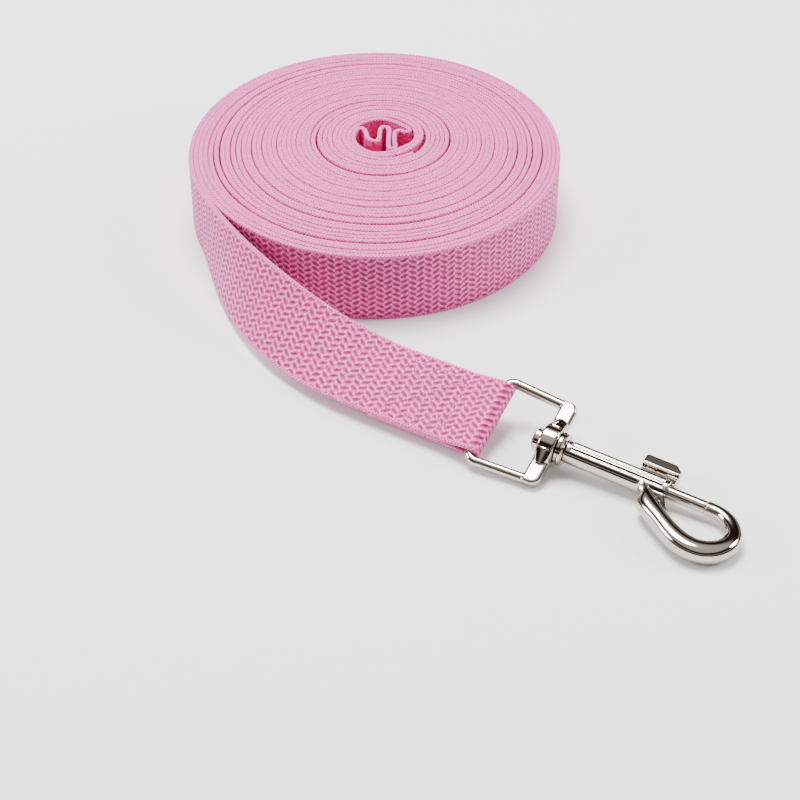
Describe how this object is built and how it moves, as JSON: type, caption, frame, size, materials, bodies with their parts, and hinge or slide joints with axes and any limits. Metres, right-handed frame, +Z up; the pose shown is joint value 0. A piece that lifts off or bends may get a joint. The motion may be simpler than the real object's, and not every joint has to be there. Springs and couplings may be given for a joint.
{
  "type": "training leash",
  "caption": "Long webbing training leash wound into a flat roll, its free end folded and stitched round the square eye of a swivel bolt snap.",
  "frame": {"origin": "on the roll's axis, on the flat face that it lies on", "axes": "+Z up along the roll's axis; the lead leaves on the -X side and the clip lies towards +X and -Y"},
  "size_m": [0.1348, 0.1894, 0.0203],
  "materials": {
    "webbing": "woven pink webbing",
    "thread": "twisted pink sewing thread",
    "cast_nickel": "bright nickel plate on a die casting",
    "turned_nickel": "bright nickel plate on turned steel",
    "spring_wire": "drawn spring steel"
  },
  "bodies": {
    "webbing": {"webbing_roll": "webbing", "hand_loop": "webbing", "webbing_lead": "webbing", "end_fold": "webbing", "hand_loop_stitching": "thread", "clip_end_stitching": "thread"},
    "eye": {"square_eye": "cast_nickel"},
    "hook": {"hook_body": "cast_nickel", "swivel_stud": "turned_nickel", "plunger_spring": "spring_wire"},
    "bolt": {"plunger": "turned_nickel", "thumb_tab": "cast_nickel"}
  },
  "joints": [
    {"name": "eye_hinge", "type": "hinge", "parent": "webbing", "child": "eye", "pos_m": [0.0275, -0.096, 0.00625], "axis": [-0.4698, -0.8138, -0.342], "range_deg": [0, 140]},
    {"name": "hook_swivel", "type": "hinge", "parent": "eye", "child": "hook", "pos_m": [0.045, -0.10561, 0.00507], "axis": [-0.8751, 0.4804, 0.059], "continuous": true},
    {"name": "bolt_slide", "type": "slide", "parent": "hook", "child": "bolt", "axis": [-0.8751, 0.4804, 0.059], "range_m": [0, 0.0093], "stiffness_N_per_m": 300, "springref_m": -0.004, "deforming": ["plunger_spring"]}
  ]
}
